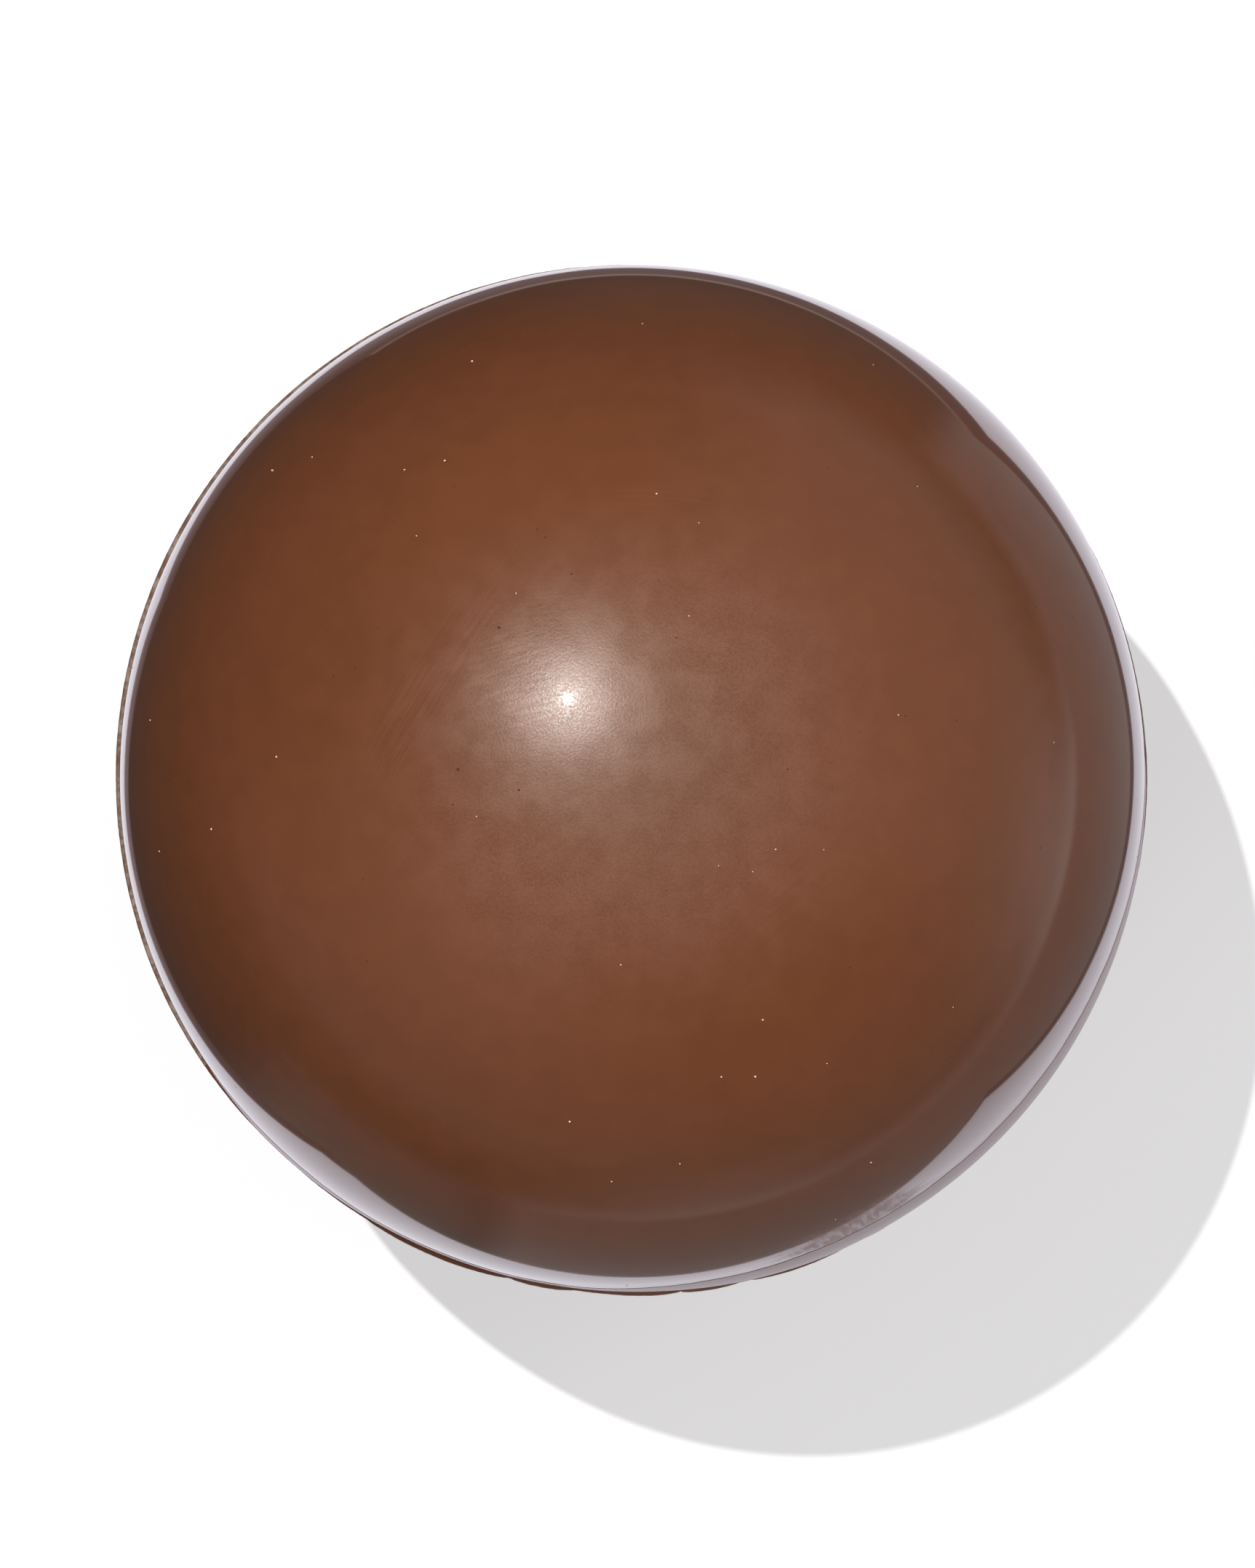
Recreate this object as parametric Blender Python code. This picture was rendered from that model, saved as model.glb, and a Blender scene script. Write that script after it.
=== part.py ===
"""A hot chocolate sphere: two moulded half shells, shut and joined by melted chocolate.

Metres, +Z up. The origin is the middle of the small flat foot that the sphere stands on,
and the join lies level, at the sphere's widest. The closed halves are modelled solid.
Run it with: blender --background --python part.py
"""
import math

import bmesh
import bpy
from mathutils import Vector

# Driving dimensions
SHELL_RADIUS = 0.03181      # outside of both halves, as cast in a half-sphere mould
FOOT_RADIUS = 0.0050        # flat spot melted onto the lowest point, so that it stands
JOIN_THICKNESS = 0.0010     # height of the melted layer between the halves
JOIN_RADIUS = 0.03207       # mean reach of that layer, a little proud of the shells
UPPER_SLIP = 0.00021        # the upper half sits this far out of line with the lower
UPPER_SLIP_DEG = 76.0       # and in this direction, from +X towards +Y
GAP = 0.0003                # clearance between neighbouring solids

# The join was smoothed by hand, so it is a little out of round:
# (bulges around the rim, their height, direction of the first in degrees)
JOIN_BULGES = ((1, 0.000090, 112.0), (2, 0.000048, 146.0), (3, 0.000032, 22.0), (8, 0.000018, 22.0))

# The join's edge is a squeezed-out bead: (share of the thickness, distance inside the reach)
BEAD_PROFILE = ((0.5, 0.00050), (0.36, 0.00014), (0.0, 0.0), (-0.36, 0.00014), (-0.5, 0.00050))

# Facets
SHELL_SEGMENTS = 96
SHELL_RINGS = 18
JOIN_SEGMENTS = 120
WELD_DISTANCE = 0.00001
SHARP_ANGLE = math.radians(40.0)

# Worked out from the above
CENTRE_HEIGHT = math.sqrt(SHELL_RADIUS**2 - FOOT_RADIUS**2)
CUT_OFFSET = JOIN_THICKNESS / 2.0 + GAP     # from the centre to each half's flat face

# Finishes: base colour, roughness
CHOCOLATE = ((0.190, 0.068, 0.038), 0.22)
MELTED_CHOCOLATE = ((0.230, 0.105, 0.058), 0.48)


def clear_scene():
    """Remove every object that the file opened with."""
    for obj in list(bpy.data.objects):
        bpy.data.objects.remove(obj, do_unlink=True)


def finish(name, look):
    """Make a Principled material from a (colour, roughness) pair."""
    colour, roughness = look
    material = bpy.data.materials.new(name)
    material.use_nodes = True
    shader = material.node_tree.nodes["Principled BSDF"]
    shader.inputs["Base Color"].default_value = (*colour, 1.0)
    shader.inputs["Roughness"].default_value = roughness
    shader.inputs["Metallic"].default_value = 0.0
    return material


def arc(radius, start, end, steps):
    """Points (r, z) on a circle about the sphere's centre, between two elevations."""
    angles = [start + (end - start) * i / steps for i in range(steps + 1)]
    return [(radius * math.cos(a), radius * math.sin(a)) for a in angles]


def spin_profile(profile, segments):
    """Turn a chain of (r, z) points, which starts and ends on the axis, into a closed solid."""
    bm = bmesh.new()
    chain = [bm.verts.new((r, 0.0, z)) for r, z in profile]
    edges = [bm.edges.new(pair) for pair in zip(chain, chain[1:])]
    bmesh.ops.spin(
        bm,
        geom=chain + edges,
        axis=(0.0, 0.0, 1.0),
        cent=(0.0, 0.0, 0.0),
        angle=math.tau,
        steps=segments,
        use_merge=True,
    )
    bmesh.ops.remove_doubles(bm, verts=bm.verts, dist=WELD_DISTANCE)
    bmesh.ops.recalc_face_normals(bm, faces=bm.faces)
    return bm


def add_object(name, bm, material, location):
    """Turn a bmesh into a named, smooth-shaded object at a location."""
    mesh = bpy.data.meshes.new(name)
    bm.to_mesh(mesh)
    bm.free()
    mesh.shade_smooth()
    mesh.set_sharp_from_angle(angle=SHARP_ANGLE)
    mesh.materials.append(material)
    obj = bpy.data.objects.new(name, mesh)
    obj.location = location
    bpy.context.scene.collection.objects.link(obj)
    return obj


def upper_half(material):
    """The upper moulded half, flat where it meets the join."""
    cut = math.asin(CUT_OFFSET / SHELL_RADIUS)
    profile = [(0.0, CUT_OFFSET)] + arc(SHELL_RADIUS, cut, math.pi / 2.0, SHELL_RINGS)
    direction = math.radians(UPPER_SLIP_DEG)
    slip = Vector((math.cos(direction), math.sin(direction), 0.0)) * UPPER_SLIP
    centre = Vector((0.0, 0.0, CENTRE_HEIGHT))
    return add_object("upper_half", spin_profile(profile, SHELL_SEGMENTS), material, centre + slip)


def lower_half(material):
    """The lower moulded half, flat where it meets the join and again at its foot."""
    cut = math.asin(CUT_OFFSET / SHELL_RADIUS)
    foot = math.asin(CENTRE_HEIGHT / SHELL_RADIUS)
    wall = arc(SHELL_RADIUS, -cut, -foot, SHELL_RINGS)
    profile = [(0.0, -CUT_OFFSET)] + wall + [(0.0, -CENTRE_HEIGHT)]
    centre = (0.0, 0.0, CENTRE_HEIGHT)
    return add_object("lower_half", spin_profile(profile, SHELL_SEGMENTS), material, centre)


def join_reach(direction):
    """How far the join reaches from the axis in a direction, in metres."""
    return JOIN_RADIUS + sum(
        height * math.cos(count * (direction - math.radians(first)))
        for count, height, first in JOIN_BULGES
    )


def melted_join(material):
    """The layer of melted chocolate between the halves, squeezed out unevenly at the rim."""
    half = JOIN_THICKNESS / 2.0
    edge = [(JOIN_RADIUS - inset, share * JOIN_THICKNESS) for share, inset in BEAD_PROFILE]
    bm = spin_profile([(0.0, half)] + edge + [(0.0, -half)], JOIN_SEGMENTS)
    for vert in bm.verts:
        if vert.co.xy.length > WELD_DISTANCE:
            vert.co.xy *= join_reach(math.atan2(vert.co.y, vert.co.x)) / JOIN_RADIUS
    return add_object("melted_join", bm, material, (0.0, 0.0, CENTRE_HEIGHT))


def build():
    """Build the lower half, the join and the upper half."""
    clear_scene()
    chocolate = finish("chocolate", CHOCOLATE)
    lower_half(chocolate)
    melted_join(finish("melted_chocolate", MELTED_CHOCOLATE))
    upper_half(chocolate)


build()
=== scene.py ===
"""Looks of the hot chocolate sphere: two moulded half shells and the melted join between them.

Metres, +Z up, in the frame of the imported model. Directions round the sphere are azimuths in
degrees, from +X towards +Y. The sphere stands on a white card and is seen from straight above.
"""

import logging
import math
import random
from dataclasses import dataclass, field
from enum import Enum

import bmesh
import bpy
import numpy as np
from bmesh.types import BMesh, BMFace, BMVert
from bpy.types import Material, Mesh, Node, NodeSocket, Object, World
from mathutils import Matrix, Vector, noise


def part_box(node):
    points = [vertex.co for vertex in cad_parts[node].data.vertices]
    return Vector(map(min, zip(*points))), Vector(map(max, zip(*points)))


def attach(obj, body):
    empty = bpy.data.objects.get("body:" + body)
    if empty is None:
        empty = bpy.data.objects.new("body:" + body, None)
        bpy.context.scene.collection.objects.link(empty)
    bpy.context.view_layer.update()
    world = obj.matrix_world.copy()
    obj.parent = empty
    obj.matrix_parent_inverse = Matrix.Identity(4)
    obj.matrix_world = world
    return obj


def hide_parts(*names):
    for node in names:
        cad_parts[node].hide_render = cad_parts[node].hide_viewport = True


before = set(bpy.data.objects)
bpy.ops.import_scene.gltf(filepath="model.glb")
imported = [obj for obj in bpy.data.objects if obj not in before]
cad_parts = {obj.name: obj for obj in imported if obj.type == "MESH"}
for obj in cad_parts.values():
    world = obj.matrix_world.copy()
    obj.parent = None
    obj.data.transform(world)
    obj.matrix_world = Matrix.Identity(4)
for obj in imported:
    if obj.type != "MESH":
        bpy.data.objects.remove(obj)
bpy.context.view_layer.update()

MM = 0.001
UP = Vector((0.0, 0.0, 1.0))
LOG = logging.getLogger("chocolate_sphere")

Colour = tuple[float, float, float]


def compass(azimuth: float, length: float = 1.0) -> Vector:
    """A level vector of the given length that points along an azimuth in degrees."""
    turn = math.radians(azimuth)
    return Vector((math.cos(turn), math.sin(turn), 0.0)) * length


def level(point: Vector) -> Vector:
    """The level direction from the middle of a ball to a point of it."""
    return Vector((point.x, point.y, 0.0)).normalized()


def strewn(draw: random.Random, low: float, high: float,
           widths: tuple[float, float]) -> tuple[Vector, float]:
    """Draw a small mark's place on a half ball and its width, which is more often small.

    Args:
        draw: the source of chance.
        low, high: how high up the half ball it may lie, as shares of the radius.
        widths: the smallest and the largest width.

    Returns:
        Its direction from the middle, and its width.
    """
    height = draw.uniform(low, high)
    outward = compass(draw.uniform(0.0, 360.0), math.sqrt(1.0 - height**2)) + UP * height
    small, large = widths
    return outward, small + (large - small) * draw.random() ** 2


def swell(where: Vector, wavelength: float, seed: float) -> float:
    """Smooth unevenness between -1 and 1 that changes over about a wavelength."""
    return noise.noise(where / wavelength + Vector((seed, -seed, 0.5 * seed)))


# Shader maths


class Value:
    """A number that changes over a surface: a shader socket that takes Python's operators."""

    def __init__(self, graph: "Graph", socket: NodeSocket) -> None:
        """Wrap a socket of a graph."""
        self.graph = graph
        self.socket = socket

    def _math(self, operation: str, first: "Value | float", second: "Value | float" = 0.0) -> "Value":
        """The result of one Math node."""
        return self.graph.value("ShaderNodeMath", {"operation": operation}, {0: first, 1: second})

    def __add__(self, other: "Value | float") -> "Value":
        """Self plus other."""
        return self._math("ADD", self, other)

    def __radd__(self, other: float) -> "Value":
        """A number plus self."""
        return self._math("ADD", other, self)

    def __sub__(self, other: "Value | float") -> "Value":
        """Self minus other."""
        return self._math("SUBTRACT", self, other)

    def __rsub__(self, other: float) -> "Value":
        """A number minus self."""
        return self._math("SUBTRACT", other, self)

    def __mul__(self, other: "Value | float") -> "Value":
        """Self times other."""
        return self._math("MULTIPLY", self, other)

    def __rmul__(self, other: float) -> "Value":
        """A number times self."""
        return self._math("MULTIPLY", other, self)

    def arccos(self) -> "Value":
        """The angle, in radians, whose cosine this is."""
        return self._math("ARCCOSINE", self)

    def fold(self, length: float) -> "Value":
        """The distance from the nearest whole number of double lengths."""
        return self._math("PINGPONG", self, length)

    def arctan(self, other: "Value") -> "Value":
        """The angle, in radians, of the point (other, self)."""
        return self._math("ARCTAN2", self, other)

    def rise(self, start: float, end: float) -> "Value":
        """Zero up to start and one from end on, with a smooth step between them.

        Args:
            start: where the step begins.
            end: where the step is over; below start, the step goes down instead.

        Returns:
            A value from 0 to 1.
        """
        return self.graph.value(
            "ShaderNodeMapRange",
            {"interpolation_type": "SMOOTHSTEP"},
            {"Value": self, "From Min": start, "From Max": end},
        )


class Graph:
    """The nodes of one material or world."""

    def __init__(self, owner: Material | World) -> None:
        """Empty the owner's node tree and take it over.

        Args:
            owner: the material or world.
        """
        self.output = "ShaderNodeOutputWorld" if isinstance(owner, World) else "ShaderNodeOutputMaterial"
        owner.use_nodes = True
        self.tree = owner.node_tree
        self.tree.nodes.clear()

    def node(self, kind: str, settings: dict | None = None, values: dict | None = None) -> Node:
        """Add a node.

        Args:
            kind: the node's type, such as ShaderNodeMath.
            settings: attributes of the node, which are set first.
            values: for each input, by name or number, a number, a vector, a colour or a link.

        Returns:
            The new node.
        """
        made = self.tree.nodes.new(kind)
        for name, setting in (settings or {}).items():
            setattr(made, name, setting)
        for key, value in (values or {}).items():
            self._feed(made.inputs[key], value)
        return made

    def _feed(self, socket: NodeSocket, value: object) -> None:
        """Link a value or socket to an input, or set the input to a constant.

        Args:
            socket: the input.
            value: what it gets.
        """
        if isinstance(value, Value):
            self.tree.links.new(value.socket, socket)
        elif isinstance(value, NodeSocket):
            self.tree.links.new(value, socket)
        elif socket.type == "RGBA" and len(value) == 3:
            socket.default_value = (*value, 1.0)
        else:
            socket.default_value = value

    def value(self, kind: str, settings: dict | None = None, values: dict | None = None,
              output: int | str = 0) -> Value:
        """Add a node and take one of its outputs as a value."""
        return Value(self, self.node(kind, settings, values).outputs[output])

    def place(self) -> NodeSocket:
        """The point being shaded, in the sphere's own frame."""
        return self.node("ShaderNodeTexCoord").outputs["Object"]

    def attribute(self, name: str) -> NodeSocket:
        """Three numbers that are kept at each point of the mesh."""
        return self.node("ShaderNodeAttribute", {"attribute_name": name}).outputs["Vector"]

    def along(self, vector: NodeSocket, axis: Vector) -> Value:
        """How far a vector reaches along an axis."""
        return self.value("ShaderNodeVectorMath", {"operation": "DOT_PRODUCT"},
                          {0: vector, 1: axis}, "Value")

    def length(self, vector: NodeSocket) -> Value:
        """How long a vector is."""
        return self.value("ShaderNodeVectorMath", {"operation": "LENGTH"}, {0: vector}, "Value")

    def noise(self, where: NodeSocket, wavelength: float, detail: float = 2.0,
              flat: bool = False) -> Value:
        """Smooth random variation about 0.5.

        Args:
            where: the point to read it at.
            wavelength: the size of its largest lumps, in the units of where.
            detail: how many finer layers it has.
            flat: whether it reads only the point's first two parts, which is quicker.

        Returns:
            A value that mostly stays between 0.3 and 0.7.
        """
        return self.value(
            "ShaderNodeTexNoise",
            {"noise_dimensions": "2D" if flat else "3D"},
            {"Vector": where, "Scale": 1.0 / wavelength, "Detail": detail},
        )

    def blend(self, share: Value | float, first: object, second: object) -> NodeSocket:
        """Mix two colours; share 0 is the first and 1 the second."""
        mix = self.node("ShaderNodeMix", {"data_type": "RGBA"}, {0: share, 6: first, 7: second})
        return mix.outputs[2]

    def scale_colour(self, colour: object, factor: Value) -> NodeSocket:
        """Make a colour lighter or darker."""
        return self.node("ShaderNodeVectorMath", {"operation": "SCALE"},
                         {0: colour, "Scale": factor}).outputs[0]

    def bump(self, height: Value) -> NodeSocket:
        """The normal of a surface raised by a height in metres."""
        return self.node("ShaderNodeBump", values={"Distance": 1.0, "Height": height}).outputs["Normal"]

    def principled(self, values: dict) -> NodeSocket:
        """A Principled shader."""
        return self.node("ShaderNodeBsdfPrincipled", values=values).outputs[0]

    def layer(self, share: Value, under: NodeSocket, over: NodeSocket) -> NodeSocket:
        """Two shaders mixed; share 0 shows the one under, and 1 the one over it."""
        return self.node("ShaderNodeMixShader", values={0: share, 1: under, 2: over}).outputs[0]

    def seen(self, given: NodeSocket, seen: NodeSocket) -> NodeSocket:
        """One shader for the light that a thing gives, and another for the camera."""
        return self.layer(self.value("ShaderNodeLightPath", output="Is Camera Ray"), given, seen)

    def end(self, surface: NodeSocket) -> None:
        """Make a shader the one that shows."""
        self.node(self.output, values={"Surface": surface})


# The sphere's plan


@dataclass(frozen=True)
class SpherePlan:
    """The sizes that every part of the sphere is built from.

    Attributes:
        radius: outside of both shells.
        middle: height of the join's middle.
        shift: how far the upper shell sits out of line.
    """

    radius: float
    middle: float
    shift: Vector

    @classmethod
    def from_frame(cls) -> "SpherePlan":
        """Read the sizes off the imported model.

        Returns:
            The plan.
        """
        upper_low, upper_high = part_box("upper_half")
        lower_low, lower_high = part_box("lower_half")
        radius = (lower_high.x - lower_low.x) / 2.0
        middle = (upper_low.z + lower_high.z) / 2.0
        upper_centre = (upper_low + upper_high) / 2.0
        shift = Vector((upper_centre.x, upper_centre.y, 0.0))
        return cls(radius, middle, shift)

    @property
    def centre(self) -> Vector:
        """The middle of the lower shell's curve."""
        return UP * self.middle

    def on_top(self, east: float, north: float) -> Vector:
        """The point of the upper shell that lies this far from the middle, seen from above."""
        height = math.sqrt(self.radius**2 - east**2 - north**2)
        return self.centre + self.shift + Vector((east, north, height))


# Finishes


@dataclass(frozen=True)
class Rub:
    """A patch of fine parallel scratches where the chocolate was rubbed.

    Attributes:
        east, north: its middle, from the sphere's middle and seen from above, in millimetres.
        angle: the way the scratches run, in degrees from +X towards +Y.
        length, width: the patch's size, in millimetres.
        pitch: how far apart the scratches lie, in millimetres.
        reach: how long a scratch is, in millimetres.
        strength: how plainly they show, from 0 to 1.
        dulling: how much of the shine is gone over the whole patch, from 0 to 1.
    """

    east: float
    north: float
    angle: float
    length: float
    width: float
    pitch: float = 0.22
    reach: float = 4.0
    strength: float = 0.6
    dulling: float = 0.0

    def lay(self, plan: SpherePlan, points: np.ndarray, seed: float) -> tuple[np.ndarray, np.ndarray]:
        """Lay the patch over a shell.

        Args:
            plan: the sphere's sizes.
            points: the shell's points, one to a row.
            seed: picks the patch's ragged outline.

        Returns:
            The patch at each point, from 0 to 1, and each point's place along and across it.
        """
        middle = plan.on_top(self.east * MM, self.north * MM)
        outward = (middle - plan.centre - plan.shift).normalized()
        way = compass(self.angle)
        run = (way - outward * way.dot(outward)).normalized()
        axes = np.array([run, outward.cross(run), outward]).T
        apart = (points - np.array(middle)) @ axes / MM
        oval = np.array([self.length, self.width, self.length * 1.5]) / 2.0
        reach = np.linalg.norm(apart / oval, axis=1)
        patch = np.zeros(len(points))
        for index in np.flatnonzero(reach < 1.6):
            along, across, _ = apart[index]
            where = Vector((along / self.length * 2.5, across / self.width * 2.0, seed))
            ragged = reach[index] + 0.35 * noise.noise(where) + 0.2 * noise.noise(where * 3.0)
            patch[index] = smooth_step((1.1 - ragged) / 0.6)
        return patch, apart[:, :2] / np.array([self.reach, self.pitch]) + seed * 5.3


def smooth_step(share: float) -> float:
    """Ease from 0 to 1 as the share does."""
    held = min(1.0, max(0.0, share))
    return held * held * (3.0 - 2.0 * held)


@dataclass(frozen=True)
class Chocolate:
    """Milk chocolate set against a polished mould, then handled.

    Attributes:
        name: the material's name.
        colour: its own colour.
        haze_tint: colour of what its haze reflects.
        gloss_tint: colour of what its polished grains reflect.
        reflecting: how strongly the skin reflects: in its dull grains, and in its bright ones.
        ior: how strongly it bends light.
        haze: roughness of its skin, seen straight on.
        gloss: roughness of the polished grains in its skin, seen straight on.
        gloss_at_edge: their roughness, seen along the surface, where they hide the haze.
        shine: how much of it has kept the mould's gloss.
        shine_roughness: roughness of that gloss.
        clouds, mottle, grain, smudges: sizes of the marks in its skin: slow changes of colour,
            mottled fat, the fat's crystals and finger marks.
        grain_height: how far the crystals stand out.
        smear_colour: its colour where it was melted and smeared.
    """

    name: str = "chocolate"
    colour: Colour = (0.1180, 0.0359, 0.0124)
    haze_tint: Colour = (1.0, 0.92, 0.84)
    gloss_tint: Colour = (0.90, 0.95, 1.0)
    reflecting: tuple[float, float] = (0.10, 0.95)
    ior: float = 1.5
    haze: float = 0.365
    gloss: float = 0.235
    gloss_at_edge: float = 0.08
    shine: float = 0.38
    shine_roughness: float = 0.036
    clouds: float = 11.0 * MM
    mottle: float = 1.7 * MM
    grain: float = 0.14 * MM
    smudges: float = 6.0 * MM
    grain_height: float = 0.006 * MM
    smear_colour: Colour = (0.270, 0.165, 0.145)

    def material(self) -> Material:
        """Build the material, which reads the rubs off the shell that wears it.

        Returns:
            The material.
        """
        made = bpy.data.materials.new(self.name)
        graph = Graph(made)
        where = graph.place()
        clouds = graph.noise(where, self.clouds, 2.0) - 0.5
        mottle = graph.noise(where, self.mottle, 3.0).rise(0.32, 0.68) - 0.5
        grain = graph.noise(where, self.grain, 2.0)
        smudges = graph.noise(where, self.smudges, 4.0) - 0.5
        rub = graph.attribute("rub")
        rubbed = graph.value("ShaderNodeSeparateXYZ", values={0: rub}, output=2)
        scratches = graph.noise(rub, 1.0, 1.5, flat=True).rise(0.40, 0.66) * rubbed

        facing = graph.value("ShaderNodeLayerWeight", output="Facing")
        straight = facing.rise(0.20, 0.03)
        sparkle = 0.075 + (grain.rise(0.36, 0.66) - 0.5) * 0.17
        polished = facing.rise(0.14, 0.58) + sparkle * straight
        turned = facing.rise(0.10, 0.62)
        bright = 0.08 + (grain.rise(0.32, 0.68) - 0.5) * 0.20 + mottle * 0.20
        bright = bright + (scratches - rubbed * 0.45) * 0.17
        tone = 1.0 + clouds * 0.22 + mottle * 0.07 + (grain - 0.5) * 0.12 + scratches * 0.10 - rubbed * 0.05
        shine = self.shine * (1.0 + smudges * 0.5) * (1.0 + (grain.rise(0.36, 0.64) - 0.5) * 1.6 * straight)
        dress = {
            "Base Color": graph.scale_colour(self.colour, tone),
            "IOR": self.ior,
            "Normal": graph.bump((grain - 0.5) * straight * self.grain_height),
            "Coat Weight": shine * (1.0 - scratches * 0.35),
            "Coat Roughness": self.shine_roughness,
            "Coat IOR": 1.5,
        }
        haze = {
            "Roughness": self.haze + smudges * 0.10 + mottle * 0.03,
            "Specular Tint": self.haze_tint,
        }
        gloss = {
            "Roughness": self.gloss + turned * (self.gloss_at_edge - self.gloss) + smudges * 0.03,
            "Specular Tint": self.gloss_tint,
            "Specular IOR Level": sum(self.reflecting) / 2.0,
        }
        dull, clear = (graph.principled({**dress, **haze, "Specular IOR Level": level})
                       for level in self.reflecting)
        hazy = graph.layer(0.5 + bright * straight, dull, clear)
        skin = graph.layer(polished, hazy, graph.principled({**dress, **gloss}))
        graph.end(graph.layer(self.smeared(graph, rub), skin, self.smear(graph, grain)))
        return made

    def smeared(self, graph: Graph, rub: NodeSocket) -> Value:
        """How much of the smear there is, in ripples along the rubbing.

        Args:
            graph: the material's nodes.
            rub: the place in the scratches.

        Returns:
            The smear's share of the skin.
        """
        patches = graph.value("ShaderNodeSeparateXYZ", values={0: graph.attribute("dulled")})
        ripples = graph.noise(rub, 1.0, 2.0, flat=True).rise(0.36, 0.60)
        return patches * (0.60 + ripples * 0.32)

    def smear(self, graph: Graph, grain: Value) -> NodeSocket:
        """The shader of chocolate that was melted and smeared.

        Args:
            graph: the material's nodes.
            grain: the fat's crystals.

        Returns:
            The shader.
        """
        return graph.principled({
            "Base Color": graph.scale_colour(self.smear_colour, 1.0 + (grain - 0.5) * 0.8),
            "Roughness": 0.5,
            "Specular IOR Level": 0.2,
        })


@dataclass(frozen=True)
class MeltedChocolate:
    """Chocolate that melted, was squeezed out of the join and set dull, with paler fat in it.

    Attributes:
        name: the material's name.
        dark, pale: colours of the chocolate and of the fat in it.
        roughness: its roughness.
        streaks, blotches: sizes of the two kinds of marks that the fat makes.
        streak_height: how far the streaks stand out.
    """

    name: str = "melted_chocolate"
    dark: Colour = (0.150, 0.083, 0.054)
    pale: Colour = (0.290, 0.218, 0.180)
    roughness: float = 0.42
    streaks: float = 0.35 * MM
    blotches: float = 1.6 * MM
    streak_height: float = 0.03 * MM

    def material(self) -> Material:
        """Build the material.

        Returns:
            The material.
        """
        made = bpy.data.materials.new(self.name)
        graph = Graph(made)
        where = graph.place()
        upright = graph.node("ShaderNodeMapping", {"vector_type": "POINT"},
                             {"Vector": where, "Scale": (1.0, 1.0, 0.25)}).outputs[0]
        streaks = graph.noise(upright, self.streaks, 2.0)
        blotches = graph.noise(where, self.blotches, 3.0)
        pale = (streaks * 0.5 + blotches * 0.5).rise(0.40, 0.64)
        graph.end(graph.principled({
            "Base Color": graph.blend(pale, self.dark, self.pale),
            "Roughness": self.roughness + (streaks - 0.5) * 0.4,
            "IOR": 1.46,
            "Normal": graph.bump((streaks - 0.5) * self.streak_height),
            "Coat Weight": 0.15,
            "Coat Roughness": 0.2,
        }))
        return made


@dataclass(frozen=True)
class SpeckFinish:
    """The finish of small marks in the skin; inside the pinholes it is darker chocolate, as painted shade
    of the cavities.

    Attributes:
        name: the material's name.
        colour, roughness: its looks.
        lumps: the size of its unevenness.
    """

    name: str
    colour: Colour
    roughness: float
    lumps: float = 0.1 * MM

    def material(self) -> Material:
        """Build the material.

        Returns:
            The material.
        """
        made = bpy.data.materials.new(self.name)
        graph = Graph(made)
        uneven = graph.noise(graph.place(), self.lumps, 2.0)
        graph.end(graph.principled({
            "Base Color": graph.scale_colour(self.colour, 0.6 + uneven * 0.8),
            "Roughness": self.roughness + (uneven - 0.5) * 0.2,
            "IOR": 1.5,
        }))
        return made


# Pieces


def shown_piece(name: str, net: BMesh, materials: list[Material],
                node: str | None) -> Object:
    """Turn a net of faces into a piece of the sphere.

    Args:
        name: the piece's name.
        net: its faces; freed here.
        materials: its materials, in the order that the faces number them.
        node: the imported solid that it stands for, if any.

    Returns:
        The new object, riding on the sphere's one body.
    """
    mesh = bpy.data.meshes.new(name)
    net.to_mesh(mesh)
    net.free()
    mesh.shade_smooth()
    for material in materials:
        mesh.materials.append(material)
    piece = bpy.data.objects.new(name, mesh)
    bpy.context.scene.collection.objects.link(piece)
    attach(piece, "root")
    if node is not None:
        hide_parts(node)
    LOG.info("%s: %d faces", name, len(mesh.polygons))
    return piece


class Side(Enum):
    """Which way a half shell bulges."""

    UPPER = 1.0
    LOWER = -1.0


@dataclass(frozen=True)
class Dot:
    """A small mark in the skin.

    Attributes:
        east, north: its place, from the sphere's middle and seen from above, in millimetres.
        width: its width, in millimetres.
    """

    east: float
    north: float
    width: float


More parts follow.
